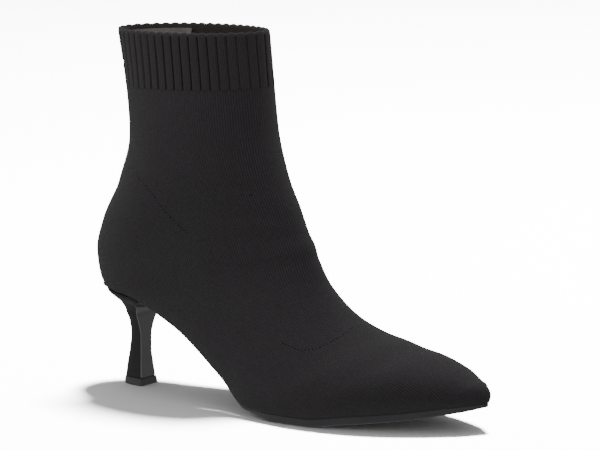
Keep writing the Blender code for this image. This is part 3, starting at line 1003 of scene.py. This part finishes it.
@dataclass
class RibbedCuff:
    """The ribbed cuff: crowned ribs and narrow grooves under a plain rolled rim."""

    height: float = 0.0314
    wall: float = 0.0027
    ribs: int = 42
    phase: float = -0.13
    groove_depth: float = 0.0013
    groove_width: float = 0.062
    crown: float = 0.0002
    plain_rim: float = 0.0015
    scallop: float = 0.00030
    dent: float = 0.0007
    dent_down: float = 0.0190
    dent_height: float = 0.0016
    dent_reach: float = 0.09
    fractions: tuple[float, ...] = (0.0, 0.03, 0.06, 0.09, 0.13, 0.20, 0.34, 0.50,
                                    0.66, 0.80, 0.87, 0.91, 0.94, 0.97)
    rows: int = 64

    def profile(self, level: float) -> tuple[float, float, float]:
        """Section of the wall, from its outer foot over the rim and back inside.

        Args:
            level: share of the way.

        Returns:
            The distance under the rim, the depth into the wall and how much grooves show.
        """
        rim = self.wall / 2
        outer, over, inner = 0.50, 0.66, 0.94
        if level <= outer:
            down = self.height + (rim - self.height) * level / outer
            cut = np.clip((down - self.plain_rim) / (0.7 * MM), 0.0, 1.0)
            return down, 0.0, float(cut * cut * (3.0 - 2.0 * cut))
        if level <= over:
            turn = (level - outer) / (over - outer) * math.pi
            return rim - rim * math.sin(turn), rim - rim * math.cos(turn), 0.0
        if level <= inner:
            down = rim + (self.height - rim) * (level - over) / (inner - over)
            return down, self.wall, 0.0
        return self.height, self.wall * (1.0 - level) / (1.0 - inner), 0.0

    def relief(self, share: np.ndarray) -> np.ndarray:
        """Depth of the grooves and the ribs' crown round the ring.

        Args:
            share: places round the ring.

        Returns:
            Depth into the wall at each place.
        """
        place = np.mod(share * self.ribs - self.phase + 0.5, 1.0) - 0.5
        groove = self.groove_depth * np.exp(-(place / self.groove_width) ** 2)
        return groove - self.crown * np.cos(math.pi * (np.abs(place) - 0.5))

    def fold(self, down: float, share: np.ndarray) -> np.ndarray:
        """Depth of the soft fold across the back of the cuff.

        Args:
            down: distance under the rim.
            share: places round the ring, 0 at the back.

        Returns:
            Depth into the wall at each place.
        """
        line = (down - self.dent_down) / self.dent_height
        round_back = (np.mod(share + 0.5, 1.0) - 0.5) / self.dent_reach
        trough = self.dent * (1.0 - 1.2 * line ** 2) * math.exp(-line ** 2)
        return trough * np.exp(-round_back ** 2)

    def build(self, material: bpy.types.Material, lining: bpy.types.Material) -> None:
        """Wrap and close the cuff.

        Args:
            material: finish of its face.
            lining: finish of its inside.
        """
        columns = self.ribs * len(self.fractions)
        stops = np.concatenate([np.add(rib, self.fractions) for rib in range(self.ribs)])
        stops = (np.r_[stops, self.ribs] + self.phase) / self.ribs
        girth = LAST.girth(0.5)

        def placer(level: float, share: np.ndarray) -> tuple[np.ndarray, np.ndarray]:
            """Place one row round the wall and measure it."""
            down, depth, cut = self.profile(level)
            round_ = np.interp(share, np.linspace(0.0, 1.0, columns + 1), stops)
            ring = LAST.ring(LAST.station_below_rim(down), round_)
            inside = self.inward(ring)
            ring += inside * (depth + cut * self.relief(round_) + self.fold(down, round_))[:, None]
            wave = np.cos((round_ * self.ribs - self.phase) * 2.0 * math.pi)
            ring[:, 2] -= self.scallop * wave * math.exp(-(down / (2.0 * MM)) ** 2)
            knit = np.stack([round_ * girth, np.full(len(ring), -down - 3.0 * depth)], axis=1)
            return LAST.place(*ring.T), knit

        piece = wrapped_grid("cuff_ribbing", columns, self.rows, placer)
        weld(piece)
        piece.data.materials.append(material)
        piece.data.materials.append(lining)
        low, high = (np.array(corner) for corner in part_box("ribbed_cuff"))
        middle = Vector((low + high) / 2)
        for face in piece.data.polygons:
            away = face.center - middle
            inner = away.x * face.normal.x + away.y * face.normal.y < 0.0
            face.material_index = int(inner and abs(face.normal.z) < 0.5)
        shade(piece, 60.0)
        hand_over(piece, "rib_knit", "ribbed_cuff")

    @staticmethod
    def inward(ring: np.ndarray) -> np.ndarray:
        """Unit directions, level with the ring, that point into it."""
        closed = ring[:-1]
        along = np.roll(closed, -3, axis=0) - np.roll(closed, 3, axis=0)
        side = np.stack([-along[:, 1], along[:, 0], np.zeros(len(closed))], axis=1)
        side /= np.linalg.norm(side, axis=1)[:, None]
        facing = np.sign(((closed.mean(axis=0) - closed) * side).sum(axis=1))
        side *= facing[:, None]
        return np.vstack([side, side[:1]])


@dataclass
class BackTape:
    """Grey tape that faces the back of the collar inside, bare and with folded ends."""

    reach: float = 0.182
    top: float = 0.0028
    slant: float = 0.14
    bottom: float = 0.0170
    off_wall: float = 0.0001
    thickness: float = 0.0005
    fold: float = 0.012
    across: int = 120
    along: int = 14

    def build(self, material: bpy.types.Material, cuff: RibbedCuff) -> None:
        """Wrap the tape on the cuff's inner wall.

        Args:
            material: the tape's finish.
            cuff: the cuff that it is sewn to.
        """
        girth = LAST.girth(0.5)

        def placer(level: float, share: np.ndarray) -> tuple[np.ndarray, np.ndarray]:
            """Place one row of the tape and measure it."""
            down = self.top + (self.bottom - self.top) * level
            whole = np.linspace(0.0, 1.0, 401)
            ring = LAST.ring(LAST.station_below_rim(down), whole)
            inside = RibbedCuff.inward(ring)
            round_ = np.mod((share * 2.0 - 1.0) * self.reach * (1.0 - self.slant * level), 1.0)
            edge = (1.0 - np.abs(share * 2.0 - 1.0)) * self.reach
            folded = self.thickness * (1.0 - np.clip(edge / self.fold, 0.0, 1.0) ** 6)
            depth = cuff.wall + self.off_wall + self.thickness + folded
            line = np.stack([np.interp(round_, whole, ring[:, axis]) for axis in range(3)], 1)
            way = np.stack([np.interp(round_, whole, inside[:, axis]) for axis in range(3)], 1)
            line = line + way * depth[:, None]
            knit = np.stack([(share * 2.0 - 1.0) * self.reach * girth,
                             np.full(len(line), down)], axis=1)
            return LAST.place(*line.T), knit

        piece = wrapped_grid("back_tape", self.across, self.along, placer)
        weld(piece)
        body = piece.modifiers.new("Thickness", "SOLIDIFY")
        body.thickness = self.thickness
        body.offset = 0.0
        piece.data.materials.append(material)
        apply_modifiers(piece)
        shade(piece, 40.0)
        hand_over(piece, "rib_knit")


class Stop(NamedTuple):
    """A point of a line on the knit: station and place round, 0 back or feather, 1 top."""

    station: float
    around: float


@dataclass
class KnitMarks:
    """Small holes that the knitting leaves where stitches are widened or narrowed, drawn as
    shallow dishes in a near-black finish that paints the shade inside them.
    """

    gore: tuple[Stop, ...] = (Stop(2.72, 0.37), Stop(3.17, 0.49), Stop(3.90, 0.57),
                              Stop(4.50, 0.62))
    vamp: tuple[Stop, ...] = (Stop(8.93, 0.67), Stop(9.37, 0.71),
                              Stop(9.52, 0.78), Stop(9.43, 0.875), Stop(9.30, 0.93))
    strays: tuple[Stop, ...] = (Stop(3.40, 0.81),)
    pitch: float = 0.0021
    radius: float = 0.00036
    lip: float = 0.00010
    lift: float = 0.00006
    sizes: tuple[float, ...] = (1.0, 0.7, 1.15, 0.85, 0.6, 1.1, 0.9)

    def line(self, stops: Sequence[Stop], side: Side) -> list[tuple[np.ndarray, np.ndarray]]:
        """Evenly spaced places along a line, each with its normal.

        Args:
            stops: the line's own points.
            side: which side of the boot.

        Returns:
            Points and outward normals.
        """
        keys = np.linspace(0.0, 1.0, len(stops))
        station = Curve(list(zip(keys, [stop.station for stop in stops])))
        around = Curve(list(zip(keys, [stop.around for stop in stops])))
        fine = np.linspace(0.0, 1.0, 200)
        spots = np.array([self.spot(station(key), around(key), side)[0] for key in fine])
        run = np.r_[0.0, np.cumsum(np.linalg.norm(np.diff(spots, axis=0), axis=1))]
        keys = np.interp(np.arange(0.0, run[-1], self.pitch), run, fine)
        return [self.spot(station(key), around(key), side) for key in keys]

    @staticmethod
    def spot(station: float, around: float, side: Side) -> tuple[np.ndarray, np.ndarray]:
        """A point of the knit's face and its outward normal.

        Args:
            station: its station.
            around: its place round.
            side: which side of the boot.

        Returns:
            The point and the unit normal.
        """
        share = around / 2 if side is Side.OUTER else 1.0 - around / 2
        step = 0.01
        here = LAST.across(station, np.array([share, share + step]))
        ahead = LAST.across(station + step, np.array([share]))[0]
        normal = np.cross(here[1] - here[0], ahead - here[0])
        normal /= np.linalg.norm(normal)
        if normal[1] * side.value < 0.0:
            normal = -normal
        return here[0], normal

    def build(self, material: bpy.types.Material) -> None:
        """Model one mark, copy it along the lines and join the copies."""
        places: list[tuple[np.ndarray, np.ndarray]] = []
        for side in Side:
            places += self.line(self.gore, side)
            if side is Side.OUTER:
                places += [self.spot(stop.station, stop.around, side) for stop in self.strays]
        places += self.line(self.vamp, Side.OUTER)
        places += self.line(self.vamp, Side.INNER)
        copies = []
        for number, (point, normal) in enumerate(places):
            copies.append(self.mark(point, normal, self.sizes[number % len(self.sizes)]))
        deselect()
        for copy in copies:
            copy.select_set(True)
        bpy.context.view_layer.objects.active = copies[0]
        bpy.ops.object.join()
        piece = bpy.context.active_object
        piece.name = "knit_marks"
        bpy.ops.object.transform_apply(location=True, rotation=True, scale=True)
        piece.data.materials.append(material)
        shade(piece, 60.0)
        hand_over(piece, "knit")

    def mark(self, point: np.ndarray, normal: np.ndarray, size: float) -> bpy.types.Object:
        """One small dished hole with a lip, on the knit's face.

        Args:
            point: its place.
            normal: the knit's normal there.
            size: its share of the full radius.

        Returns:
            The copy.
        """
        deselect()
        radius = self.radius * size
        bpy.ops.mesh.primitive_circle_add(vertices=10, radius=radius, fill_type="NGON")
        piece = bpy.context.active_object
        bpy.ops.object.mode_set(mode="EDIT")
        bpy.ops.mesh.select_all(action="SELECT")
        bpy.ops.mesh.inset(thickness=radius * 0.35, depth=self.lip)
        bpy.ops.mesh.inset(thickness=radius * 0.25, depth=-self.lip * 2.0)
        bpy.ops.object.mode_set(mode="OBJECT")
        turn = Vector((0.0, 0.0, 1.0)).rotation_difference(Vector(normal))
        seat = Vector(point + normal * self.lift)
        piece.matrix_world = Matrix.Translation(seat) @ turn.to_matrix().to_4x4()
        return piece


@dataclass
class SoleUnit:
    """The thin outsole and the insole on it."""

    overhang: float = 0.0007
    tuck: float = 0.0016
    top_gap: float = 0.00005
    rows: tuple[SoleRow, ...] = (
        SoleRow(6, 0.15, -0.4),
        SoleRow(8, 0.19, -1.2),
        SoleRow(9, 0.36, -1.8),
        SoleRow(10, 0.50, -1.2),
        SoleRow(11, 1.00, 1.0),
        SoleRow(13, 1.00, 1.0),
        SoleRow(15, 0.72, 0.8),
        SoleRow(16, 0.35, 0.3),
    )
    insole_thickness: float = 0.0024
    insole_inset: float = 0.0036
    steps: int = 150

    def underside(self, station: float) -> float:
        """Height of the outsole's underside at a station."""
        share = Curve([(row.station, row.thickness) for row in self.rows])(station)
        return LAST.curves["back_z"](station) - LAST.sole_thickness * share

    def outsole_inset(self, station: float) -> float:
        """How far the outsole is drawn in at a station."""
        share = Curve([(row.station, row.overhang) for row in self.rows])(station)
        return -self.overhang * share

    def plate(self, name: str, inset: Callable[[float], float],
              section: Callable[[float, float], np.ndarray], count: int) -> bpy.types.Object:
        """Wrap a closed plate along the feather line.

        Args:
            name: the piece's name.
            inset: gives how far its edge lies inside the feather line, by station.
            section: gives side points from the station and half width, as y and z.
            count: points of the whole section ring.

        Returns:
            The piece.
        """
        back_x = LAST.curves["back_x"]
        start, end = back_x(LAST.seat) + inset(LAST.seat), back_x(LAST.seat_end)
        toe, tip = back_x(LAST.toe), LAST.tip_x(inset(LAST.tip))
        seat_part, foot_part, toe_part = 0.20, 0.65, 0.15

        def placer(level: float, share: np.ndarray) -> tuple[np.ndarray, np.ndarray]:
            """Place one ring of the plate and measure it."""
            if level < seat_part:
                x = end - (end - start) * math.cos(level / seat_part * math.pi / 2)
            elif level < seat_part + foot_part:
                station = (LAST.toe - LAST.seat_end) * (level - seat_part) / foot_part
                x = back_x(LAST.seat_end + station)
            else:
                turn = (level - seat_part - foot_part) / toe_part * math.pi / 2
                x = toe + (tip - toe) * math.sin(turn)
            station = LAST.seat_station(x)
            ring = section(station, LAST.feather_half(x, station, inset(station)))
            wide, high = ring[:, 0], ring[:, 1]
            wide = np.interp(share, np.linspace(0, 1, len(ring)), wide)
            high = np.interp(share, np.linspace(0, 1, len(ring)), high)
            points = LAST.place(np.full(len(share), x), wide, high)
            return points, np.stack([wide, np.full(len(share), x)], axis=1)

        piece = wrapped_grid(name, count, self.steps, placer)
        weld(piece)
        return piece

    def build(self, rubber: bpy.types.Material, tread: bpy.types.Material,
              board: bpy.types.Material) -> None:
        """Make both plates.

        Args:
            rubber: finish of the outsole's edge and top.
            tread: finish of its underside.
            board: finish of the insole.
        """
        def outsole(station: float, half: float) -> np.ndarray:
            """Section ring of the outsole with a softly rounded, tucked edge."""
            top = LAST.curves["back_z"](station) - self.top_gap
            under = self.underside(station)
            depth = top - under
            edge = ((0.0, 0.0), (0.06, -0.10), (0.3, -0.02), (0.55, 0.02), (0.75, 0.14),
                    (0.88, 0.35), (0.96, 0.65), (1.0, 1.0))
            side = [(half - min(self.tuck * max(tuck, -0.05), half), top - down * depth)
                    for down, tuck in edge]
            inner = [(share * max(half - self.tuck, 0.0), under) for share in (0.8, 0.5, 0.2)]
            lid = [(share * half, top) for share in (0.2, 0.6, 0.9)]
            half_ring = lid + side + inner
            ring = half_ring + [(-y, z) for y, z in half_ring[::-1]]
            return np.array(ring + ring[:1])

        def insole(station: float, half: float) -> np.ndarray:
            """Section ring of the insole, a little dished."""
            low = LAST.curves["back_z"](station) + 0.0001
            top = low + self.insole_thickness
            soft = min(0.0009, half * 0.3)
            side = [(0.0, top - 0.0004), (half * 0.5, top - 0.0003), (half * 0.85, top),
                    (max(half - soft, 0.0), top), (half, top - soft * 0.7), (half, low)]
            ring = side + [(-y, z) for y, z in side[::-1]]
            return np.array(ring + ring[:1])

        sole = self.plate("outsole_rubber", self.outsole_inset, outsole, 28)
        sole.data.materials.append(rubber)
        sole.data.materials.append(tread)
        for face in sole.data.polygons:
            face.material_index = 1 if face.normal.z < -0.75 else 0
        self.close_ends(sole)
        shade(sole, 40.0)
        hand_over(sole, "outsole", "outsole")
        board_piece = self.plate("insole_cover", lambda _station: self.insole_inset, insole, 12)
        self.close_ends(board_piece)
        board_piece.data.materials.append(board)
        shade(board_piece, 50.0)
        hand_over(board_piece, "insole", "insole")

    @staticmethod
    def close_ends(piece: bpy.types.Object) -> None:
        """Fill any open end of a plate."""
        activate(piece)
        bpy.ops.object.mode_set(mode="EDIT")
        bpy.ops.mesh.select_all(action="DESELECT")
        bpy.ops.mesh.select_non_manifold()
        bpy.ops.mesh.fill_holes(sides=0)
        bpy.ops.mesh.select_all(action="SELECT")
        bpy.ops.mesh.normals_make_consistent(inside=False)
        bpy.ops.object.mode_set(mode="OBJECT")


@dataclass
class SlimHeel:
    """The covered heel with its swept front face, and the top-lift under it."""

    breast: float = 0.0300
    tip_length: float = 0.0150
    tip_width: float = 0.0130
    seat_breast: float = 0.0430
    sweep: float = 0.0140
    lift_thickness: float = 0.0043
    lift_overhang: float = 0.0009
    gap: float = 0.0001
    arc: int = 56
    front: int = 16
    levels: int = 60
    corner: float = 0.00035
    lift_corner: float = 0.0004
    facing_ahead: float = 0.62
    corner_ahead: float = 0.2
    rows: tuple[HeelRow, ...] = (
        HeelRow(0.00, 0.05, 1.00, 1.00, 2.3, 0.00, 0.00, 0.00),
        HeelRow(0.15, 0.01, 0.88, 0.86, 2.2, 0.00, 0.00, 0.00),
        HeelRow(0.31, -0.02, 0.74, 0.74, 2.1, 0.00, 0.00, 0.00),
        HeelRow(0.47, -0.01, 0.67, 0.76, 2.1, 0.00, 0.00, 0.00),
        HeelRow(0.62, 0.02, 0.72, 1.10, 2.1, 0.00, 0.00, 0.00),
        HeelRow(0.73, 0.06, 0.85, 1.48, 2.2, 0.00, 0.00, 0.00),
        HeelRow(0.84, 0.06, 0.90, 1.55, 2.3, 0.26, 0.27, 0.06),
        HeelRow(0.93, 0.06, 0.95, 1.60, 2.4, 0.68, 0.66, 0.36),
        HeelRow(1.00, 0.06, 1.00, 1.60, 2.9, 1.00, 1.00, 1.00),
    )

    def outline(self, row: HeelRow, proud: float = 0.0) -> np.ndarray:
        """Ring of a heel section, from above.

        Args:
            row: the section.
            proud: how far it stands out all round.

        Returns:
            Points x, y: the rounded back from the outer side, then the front face.
        """
        breast = self.breast + row.ahead * self.tip_length
        back = breast - row.length * self.tip_length
        half = row.width * self.tip_width / 2
        seat_half = LAST.feather_half(self.seat_breast, LAST.seat_station(self.seat_breast))
        breast += row.breast * (self.seat_breast - breast) + proud
        back += row.back * (LAST.curves["back_x"](LAST.seat) - back) - proud
        half += row.side * (seat_half - half) + proud
        ring = []
        for turn in np.linspace(-math.pi / 2, math.pi / 2, self.arc + 1):
            x = breast - (breast - back) * abs(math.cos(turn)) ** (2.0 / row.fullness)
            wide = half * abs(math.sin(turn)) ** (2.0 / row.fullness)
            wide += row.back * (LAST.feather_half(x, LAST.seat_station(x)) - wide)
            ring.append((x, math.copysign(wide, turn)))
        bow = self.sweep * row.breast ** 2
        for share in np.linspace(1.0, -1.0, self.front + 1)[1:-1]:
            ring.append((breast + bow * (1.0 - share ** 2), half * share))
        return np.array(ring + ring[:1])

    def closed(self, name: str, levels: int, ring_at: Callable[[float], np.ndarray],
               bevel: float) -> bpy.types.Object:
        """Wrap rings into a closed body with crisp, slightly rounded corners.

        Args:
            name: the piece's name.
            levels: steps from the bottom ring to the top ring.
            ring_at: gives a ring of points in the frame from its share of the height.
            bevel: rounding of its corners.

        Returns:
            The piece.
        """
        count = self.arc + self.front

        def placer(level: float, share: np.ndarray) -> tuple[np.ndarray, np.ndarray]:
            """Place one ring and measure it."""
            ring = ring_at(level)
            places = np.rint(share * count).astype(int)
            points = ring[places]
            return points, np.stack([share * 0.05, points[:, 2]], axis=1)

        piece = wrapped_grid(name, count, levels, placer)
        for _ in range(3):
            piece.data.materials.append(None)
        weld(piece, 0.00001)
        SoleUnit.close_ends(piece)
        corner = piece.modifiers.new("Corners", "BEVEL")
        corner.width = bevel
        corner.segments = 2
        corner.limit_method = "ANGLE"
        corner.angle_limit = math.radians(30.0)
        corner.material = 2
        apply_modifiers(piece)
        SoleUnit.close_ends(piece)
        corners = [face.material_index for face in piece.data.polygons]
        piece.data.materials.clear()
        piece.data.polygons.foreach_set("material_index", corners)
        return piece

    def build(self, sole: SoleUnit, cover: bpy.types.Material, breast: bpy.types.Material,
              edge: bpy.types.Material, rubber: bpy.types.Material) -> None:
        """Make the heel and its top-lift.

        Args:
            sole: the sole that the heel carries.
            cover: finish of the sides and back.
            breast: finish of the front face.
            edge: finish of the front face's corners, a light colour that paints a highlight line
                along them.
            rubber: finish of the top-lift.
        """
        curves = {name: Curve([(row.rise, getattr(row, name)) for row in self.rows])
                  for name in HeelRow._fields[1:]}
        foot = self.lift_thickness

        def seat(x: float) -> float:
            """Height of the heel's top under the sole."""
            return sole.underside(LAST.seat_station(x)) - self.gap

        def body_ring(level: float) -> np.ndarray:
            """Ring of the heel at a share of its height."""
            row = HeelRow(level, *[float(curves[name](level)) for name in HeelRow._fields[1:]])
            outline = self.outline(row)
            high = np.array([foot + level * (seat(x) - foot) for x in outline[:, 0]])
            return LAST.place(outline[:, 0], outline[:, 1], high)

        body = self.closed("heel_body", self.levels, body_ring, self.corner)
        for material in (cover, breast, edge):
            body.data.materials.append(material)
        # Bevel faces on the breast's corners take the light edge finish, a painted highlight line.
        for face in body.data.polygons:
            ahead = face.normal.x
            corner = face.material_index == 2 and ahead > self.corner_ahead
            corner = corner and face.center.z > foot + MM
            face.material_index = 2 if corner else int(ahead > self.facing_ahead)
        shade(body, 45.0)
        hand_over(body, "heel_cover", "heel")

        def lift_ring(level: float) -> np.ndarray:
            """Ring of the top-lift at a share of its height."""
            flare = self.lift_overhang * (1.0 - 0.65 * level)
            outline = self.outline(self.rows[0], flare)
            high = np.full(len(outline), level * (foot - 2.0 * self.gap))
            return LAST.place(outline[:, 0], outline[:, 1], high)

        lift = self.closed("top_lift_rubber", 6, lift_ring, self.lift_corner)
        lift.data.materials.append(rubber)
        lift.data.polygons.foreach_set("material_index", [0] * len(lift.data.polygons))
        shade(lift, 45.0)
        hand_over(lift, "top_lift", "top_lift")


@dataclass
class Studio:
    """Pale floor, soft lights and the photograph's camera."""

    azimuth: float = 36.59
    elevation: float = 10.62
    distance: float = 2.217
    focal_pixels: float = 4066.0
    roll: float = -0.64
    target: tuple[float, float, float] = (0.1156, -0.0003, 0.1027)
    floor_size: float = 14.0
    floor_grey: float = 0.35
    floor_watts: float = 2700.0
    floor_lamp: tuple[float, float, float] = (0.05, 0.60, 2.5)
    floor_lamp_size: float = 0.45
    lamp_aim: tuple[float, float, float] = (0.1, 0.0, 0.08)
    surround: float = 0.85
    sensor: float = 36.0

    def camera(self) -> None:
        """Set the camera at the photograph's angle to the boot."""
        azimuth, elevation = math.radians(self.azimuth), math.radians(self.elevation)
        away = Vector((math.sin(azimuth) * math.cos(elevation),
                       -math.cos(azimuth) * math.cos(elevation), math.sin(elevation)))
        data = bpy.data.cameras.new("Camera")
        data.sensor_width = self.sensor
        data.lens = self.focal_pixels / IMAGE_WIDTH * self.sensor
        data.clip_end = 50.0
        camera = bpy.data.objects.new("Camera", data)
        bpy.context.scene.collection.objects.link(camera)
        turn = away.to_track_quat("Z", "Y").to_matrix().to_4x4()
        roll = Matrix.Rotation(math.radians(self.roll), 4, "Z")
        camera.matrix_world = Matrix.Translation(Vector(self.target) + away * self.distance)
        camera.matrix_world = camera.matrix_world @ turn @ roll
        bpy.context.scene.camera = camera

    def floor(self) -> None:
        """Lay a pale matt floor."""
        deselect()
        bpy.ops.mesh.primitive_plane_add(size=self.floor_size)
        floor = bpy.context.active_object
        floor.name = "floor"
        material = bpy.data.materials.new("Pale floor")
        material.use_nodes = True
        shader = material.node_tree.nodes["Principled BSDF"]
        shader.inputs["Base Color"].default_value = (*[self.floor_grey] * 3, 1.0)
        shader.inputs["Roughness"].default_value = 0.9
        floor.data.materials.append(material)
        floor.visible_diffuse = False
        floor.visible_glossy = False
        lamp = self.lamp("Floor glow", "DISK", self.floor_lamp_size, self.floor_watts)
        lamp.location = self.floor_lamp
        lit = bpy.data.collections.new("Lit floor")
        lit.objects.link(floor)
        lamp.light_linking.receiver_collection = lit

    @staticmethod
    def lamp(name: str, shape: str, size: float, watts: float) -> bpy.types.Object:
        """Add one area lamp.

        Args:
            name: its name.
            shape: SQUARE or DISK.
            size: its side or diameter.
            watts: its power.

        Returns:
            The lamp.
        """
        data = bpy.data.lights.new(name, "AREA")
        data.shape, data.size, data.energy = shape, size, watts
        lamp = bpy.data.objects.new(name, data)
        bpy.context.scene.collection.objects.link(lamp)
        return lamp

    def light(self, name: str, place: tuple[float, float, float], size: float,
              watts: float) -> None:
        """Hang one square softbox that looks at the boot.

        Args:
            name: the lamp's name.
            place: where it hangs.
            size: its side.
            watts: its power.
        """
        lamp = self.lamp(name, "SQUARE", size, watts)
        way = Vector(place) - Vector(self.lamp_aim)
        turn = way.to_track_quat("Z", "Y").to_matrix().to_4x4()
        lamp.matrix_world = Matrix.Translation(Vector(place)) @ turn

    def world(self) -> None:
        """Surround everything with a pale even glow."""
        world = bpy.data.worlds.new("Pale surround")
        bpy.context.scene.world = world
        world.use_nodes = True
        glow = world.node_tree.nodes["Background"]
        glow.inputs["Color"].default_value = (1.0, 1.0, 1.0, 1.0)
        glow.inputs["Strength"].default_value = self.surround

    def build(self) -> None:
        """Set the whole studio."""
        self.camera()
        self.floor()
        self.world()
        self.light("Overhead softbox", (0.1, 0.1, 1.8), 1.6, 26.0)
        self.light("Front softbox", (1.4, -1.5, 0.9), 1.2, 10.0)
        self.light("Side softbox", (-1.3, -1.2, 1.0), 1.2, 12.0)


def main() -> None:
    """Build every piece in order."""
    logging.basicConfig(level=logging.INFO, format="%(message)s")
    knit = KnitFinish("Black flat knit", (0.0152, 0.0134, 0.0150), 0.88).build()
    rib = KnitFinish("Black rib knit", (0.0154, 0.0136, 0.0146), 0.88, wale=0.00095,
                     course=0.00085, relief=0.00012).build()
    lining = KnitFinish("Charcoal lining", (0.016, 0.014, 0.014), 0.92, wale=0.0011,
                        course=0.0009, relief=0.00010).build()
    cuff_lining = KnitFinish("Charcoal cuff lining", (0.026, 0.022, 0.020), 0.92, wale=0.0013,
                             course=0.0010, relief=0.00025).build()
    # Near-black finish of the knit holes: painted shade standing in for the dark inside of each
    # hole.
    mark = CoverFinish("Knit hole shade", (0.0030, 0.0028, 0.0028), 1.0, scuff=0.02, gloss=0.04).build()
    tape = TapeFinish("Grey tape", (0.115, 0.103, 0.103), 0.55).build()
    cover = CoverFinish("Matt heel cover", (0.0108, 0.0096, 0.0092), 0.80, gloss=0.20,
                        grain=1900.0, relief=0.00012).build()
    breast = CoverFinish("Smooth heel breast", (0.0160, 0.0150, 0.0182), 0.42, gloss=0.42,
                         relief=0.00002).build()
    # Light finish of the heel's bevelled corners: a painted highlight line.
    edge = CoverFinish("Heel corner painted highlight", (0.088, 0.084, 0.094), 0.40, gloss=0.5).build()
    rubber = CoverFinish("Sole edge", (0.0165, 0.0150, 0.0175), 0.50, gloss=0.30,
                         relief=0.00003).build()
    lift = CoverFinish("Top-lift rubber", (0.0180, 0.0170, 0.0175), 0.62, gloss=0.30).build()
    tread = TreadFinish("Sole tread", (0.014, 0.013, 0.013), 0.60).build()
    board = CoverFinish("Insole cover", (0.020, 0.018, 0.018), 0.70, grain=900.0,
                        relief=0.00010).build()
    KnitUpper().build(knit, lining)
    cuff = RibbedCuff()
    cuff.build(rib, cuff_lining)
    BackTape().build(tape, cuff)
    KnitMarks().build(mark)
    sole = SoleUnit()
    sole.build(rubber, tread, board)
    SlimHeel().build(sole, cover, breast, edge, lift)
    Studio().build()


if __name__ == "__main__":
    main()
